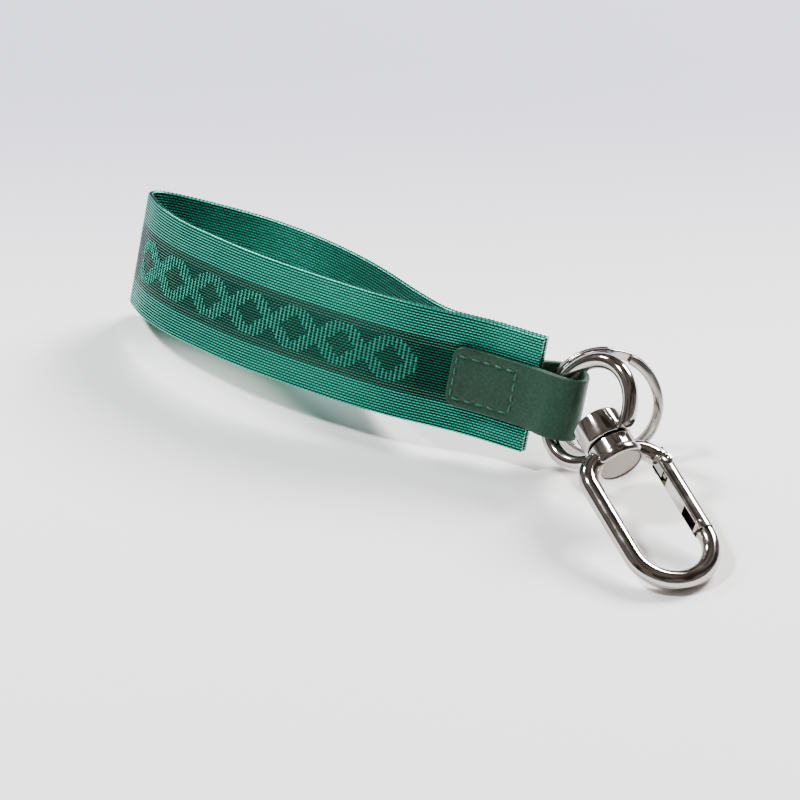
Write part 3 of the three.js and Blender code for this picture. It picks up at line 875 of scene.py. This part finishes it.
def hook_piece():
    lip = LOWER_RADIUS + BEAD
    barrel = turned("barrel", softened([
        (0, -LOWER_LENGTH), (LOWER_RADIUS, -LOWER_LENGTH), (LOWER_RADIUS, -2.3), (lip, -1.7), (lip, -0.75),
        (lip - 0.3, -0.05), (lip - 0.85, LIP_RISE), (0, LIP_RISE),
    ], LIP_SOFT), 96)
    elbow_in = HOOK_HALF - ELBOW
    wire = circle(HOOK_WIRE, 32)
    nose_face = PIVOT + GATE_LENGTH + 0.5
    long_path = arc(ELBOW_END, -elbow_in, ELBOW, 180, 270, 20)
    long_path += arc(HOOK_STRAIGHT, 0, HOOK_HALF, -90, 90, 56) + [(nose_face, HOOK_HALF, 0)]
    long_arm = sweep("long_arm", long_path, wire, (0, 0, 1))
    gate_arm = sweep("gate_arm", arc(ELBOW_END, elbow_in, ELBOW, 180, 90, 20), wire, (0, 0, 1))
    foot_room = -CAP_THICK - 2 * GAP - POST_FOOT_THICK
    cap_back = -CAP_THICK - 0.1
    cavity = turned("cavity", [
        (0, -LOWER_LENGTH - 1), (POST_RADIUS + GAP, -LOWER_LENGTH - 1), (POST_RADIUS + GAP, foot_room),
        (POST_FOOT + GAP, foot_room), (POST_FOOT + GAP, cap_back), (CAP_FACE + CAP_ROOM, cap_back),
        (CAP_FACE + CAP_ROOM, 2 * HOOK_WIRE), (0, 2 * HOOK_WIRE),
    ], 96)
    heel_room = cross_rod(GATE_RADIUS + GAP, HOOK_WIRE + 1, PIVOT, HOOK_HALF, 64)
    body = combined(barrel, "UNION", long_arm, gate_arm)
    body = combined(body, "DIFFERENCE", cavity, heel_room)
    root = -HOOK_WIRE - 1.6
    lever = plate([(root, -1.5), (-1, -1.7), (LEVER_END, -1.7), (LEVER_END, 0.2), (0, 1.5), (root, 1.5)])
    moved(lever, Matrix.Translation((PIVOT, HOOK_HALF, 0)))
    nose = rod(HOOK_WIRE, PIVOT + GATE_WEB + 0.5, nose_face + 0.5)
    moved(nose, Matrix.Translation((0, HOOK_HALF, 0)))
    outer = HOOK_HALF + 2 * HOOK_WIRE
    slab = block(0, HOOK_STRAIGHT, HOOK_HALF - 0.4, outer, -TONGUE_HALF, TONGUE_HALF)
    nose = combined(nose, "INTERSECT", slab)
    body = combined(body, "UNION", lever, nose)
    body = combined(body, "DIFFERENCE", cross_rod(PIN_RADIUS + GAP, 2 * TONGUE_HALF, PIVOT, HOOK_HALF))
    return place(body, "hook_and_barrel", HOOK, "hook", nickel_look, ["hook_body"], 35)


def cap_piece():
    profile = softened([(0, -CAP_THICK), (CAP_FACE, -CAP_THICK), (CAP_FACE, 0), (0, 0)], 0.18)
    made = turned("cap", profile, 96)
    return place(made, "swivel_disc", HOOK, "hook", brushed_look, ["swivel_cap"], 50)


def pivot_piece():
    """The gate's rivet: a low domed head at each end, with a peened mark in it."""
    seat = GATE_RADIUS + RIVET_GAP
    top = seat + PIN_HEAD_THICK
    half = [
        (0, top - 0.3), (0.45, top - 0.26), (0.75, top - 0.02), (1.15, top), (RIVET_HEAD - 0.2, top - 0.12),
        (RIVET_HEAD, seat + 0.02), (RIVET_HEAD, seat), (PIN_RADIUS, seat),
    ]
    profile = [(radius, -along) for radius, along in half] + half[::-1]
    made = turned("pivot", softened(profile, 0.06, 2), 48)
    moved(made, Matrix.Rotation(math.pi / 2, 4, "Y"))
    return place(made, "gate_rivet", GATE, "hook", nickel_look, ["gate_pivot_pin"], 50)


hook_piece()
cap_piece()
pivot_piece()

# ---- the gate ----


def gate_piece():
    angles = np.linspace(-np.pi / 2, np.pi / 2, 33)
    inner = -GATE_INNER
    outline = [(GATE_RADIUS * math.cos(a), GATE_RADIUS * math.sin(a)) for a in angles]
    flat = softened([
        (0, GATE_RADIUS), (inner, GATE_RADIUS), (inner, -GATE_RADIUS), (0, -GATE_RADIUS),
    ], GATE_SOFT)
    outline = np.array(outline[:-1] + flat[:-1])
    heel = -GATE_RADIUS * np.cos(np.linspace(0, np.pi / 2, 14))
    along = np.concatenate([heel, [GATE_LENGTH - 0.15, GATE_LENGTH]])
    points = np.empty((len(along), len(outline), 3))
    for i, x in enumerate(along):
        limit = math.sqrt(max(GATE_RADIUS**2 - min(x, 0) ** 2, 0))
        shrink = 0.95 if x == GATE_LENGTH else 1
        points[i, :, 0] = x
        points[i, :, 1] = np.clip(outline[:, 0], -limit, limit) * shrink
        points[i, :, 2] = outline[:, 1] * shrink
    bar = form("gate", points, grid_faces(*points.shape[:2]) + end_caps(*points.shape[:2]))
    deep = 2 * GATE_RADIUS
    bore = rod(PLUNGER_RADIUS + GAP / 2, GATE_HEEL - 0.1, GATE_BORE)
    moved(bore, Matrix.Translation((0, -PLUNGER_DROP, 0)))
    bar = combined(
        bar, "DIFFERENCE",
        block(-deep, GATE_HEEL, -deep, GATE_SLOT, -GATE_SLOT, GATE_SLOT),
        block(GATE_NOSE, GATE_LENGTH + 1, -deep, GATE_SLOT, -GATE_SLOT, GATE_SLOT),
        block(GATE_WEB, GATE_LENGTH + 1, 0, deep, -GATE_SLOT, GATE_SLOT),
        bore,
        cross_rod(PIN_RADIUS + 0.1, deep, 0, 0),
        cross_rod(LATCH_RADIUS + 0.05, deep, LATCH_AT, -LATCH_DROP, 32),
    )
    return place(bar, "gate_bar", GATE, "gate", nickel_look, ["gate"], 35)


def latch_piece():
    reach = GATE_RADIUS + 0.02
    profile = softened([(0, -reach), (LATCH_RADIUS, -reach), (LATCH_RADIUS, reach), (0, reach)], 0.12)
    made = turned("latch", profile, 32)
    moved(made, Matrix.Translation((LATCH_AT, -LATCH_DROP, 0)) @ Matrix.Rotation(math.pi / 2, 4, "Y"))
    return place(made, "latch_rivet", GATE, "gate", nickel_look, ["latch_pin"], 50)


gate_piece()
latch_piece()

# The hidden metal keeps the model's own shapes.
for node, look in (("swivel_post", nickel_look), ("gate_plunger", brushed_look), ("gate_spring", steel_look)):
    kept = frame["nodes"][node]
    kept.data.materials.clear()
    kept.data.materials.append(look)

# ---- the floor and the light ----

# The floor goes from near white close to the camera to a darker lavender further off: partly the backdrop's
# own lavender tone, partly painted falloff of the light.
FLOOR_NEAR = (0.93, 0.93, 0.93, 1)
FLOOR_FAR = (0.50, 0.50, 0.63, 1)


def floor_piece():
    size = 3.0
    corners = [(-size, -size, 0), (size, -size, 0), (size, size, 0), (-size, size, 0)]
    mesh = bpy.data.meshes.new("floor")
    mesh.from_pydata(corners, [], [(0, 1, 2, 3)])
    made = bpy.data.objects.new("floor", mesh)
    bpy.context.scene.collection.objects.link(made)
    look = Shading("pale_floor", {"Roughness": 0.6})
    across, deep, _ = look.node("SeparateXYZ", {0: look.object_place()}).outputs
    depth = look.math("ADD", look.math("MULTIPLY", across, forward.x), look.math("MULTIPLY", deep, forward.y))
    share = look.step(depth, 0.01, 0.16)
    mesh.materials.append(look.to_shader(Base_Color=look.mix(share, FLOOR_NEAR, FLOOR_FAR)))


def lamp(name, azimuth, elevation, distance, size, power, colour):
    """A soft square lamp that looks at the object. Azimuth is counted from +X towards +Y."""
    turn = math.radians(azimuth)
    tilt = math.radians(elevation)
    towards = Vector((math.cos(tilt) * math.cos(turn), math.cos(tilt) * math.sin(turn), math.sin(tilt)))
    made = bpy.data.objects.new(name, bpy.data.lights.new(name, "AREA"))
    made.data.shape = "SQUARE"
    made.data.size = size
    made.data.energy = power
    made.data.color = colour
    made.location = towards * distance
    made.rotation_euler = (-towards).to_track_quat("-Z", "Y").to_euler()
    bpy.context.scene.collection.objects.link(made)


def world_light():
    """A pale surround under a dark ceiling, in brighter and darker patches that the metal mirrors."""
    world = bpy.data.worlds.new("studio")
    world.use_nodes = True
    bpy.context.scene.world = world
    tree = world.node_tree
    toward = tree.nodes.new("ShaderNodeTexCoord").outputs["Generated"]
    parts = tree.nodes.new("ShaderNodeSeparateXYZ")
    ramp = tree.nodes.new("ShaderNodeValToRGB")
    tree.links.new(toward, parts.inputs[0])
    tree.links.new(parts.outputs[2], ramp.inputs[0])
    cards = tree.nodes.new("ShaderNodeTexNoise")
    cards.inputs["Scale"].default_value = 2.4
    cards.inputs["Detail"].default_value = 1.0
    tree.links.new(toward, cards.inputs["Vector"])
    share = tree.nodes.new("ShaderNodeMapRange")
    share.inputs["From Min"].default_value = 0.42
    share.inputs["From Max"].default_value = 0.56
    share.inputs["To Min"].default_value = 0.25
    share.inputs["To Max"].default_value = 1.35
    tree.links.new(cards.outputs[0], share.inputs["Value"])
    tree.links.new(share.outputs[0], tree.nodes["Background"].inputs[1])
    tree.links.new(ramp.outputs[0], tree.nodes["Background"].inputs[0])
    stops = [(0.0, (0.34, 0.33, 0.37, 1)), (0.10, (0.28, 0.27, 0.30, 1)), (0.26, (0.17, 0.15, 0.135, 1)),
             (1.0, (0.15, 0.13, 0.115, 1))]
    ramp.color_ramp.elements[0].position = stops[0][0]
    ramp.color_ramp.elements[0].color = stops[0][1]
    ramp.color_ramp.elements[1].position = stops[-1][0]
    ramp.color_ramp.elements[1].color = stops[-1][1]
    for position, colour in stops[1:-1]:
        ramp.color_ramp.elements.new(position).color = colour


floor_piece()
lamp("key", 80, 41, 1.3, 0.5, 46, (1.0, 0.985, 0.96))
lamp("fill", 175, 40, 1.4, 0.2, 12, (0.93, 0.95, 1.0))
lamp("front", 212, 58, 1.3, 0.16, 22, (0.98, 0.99, 1.0))
world_light()
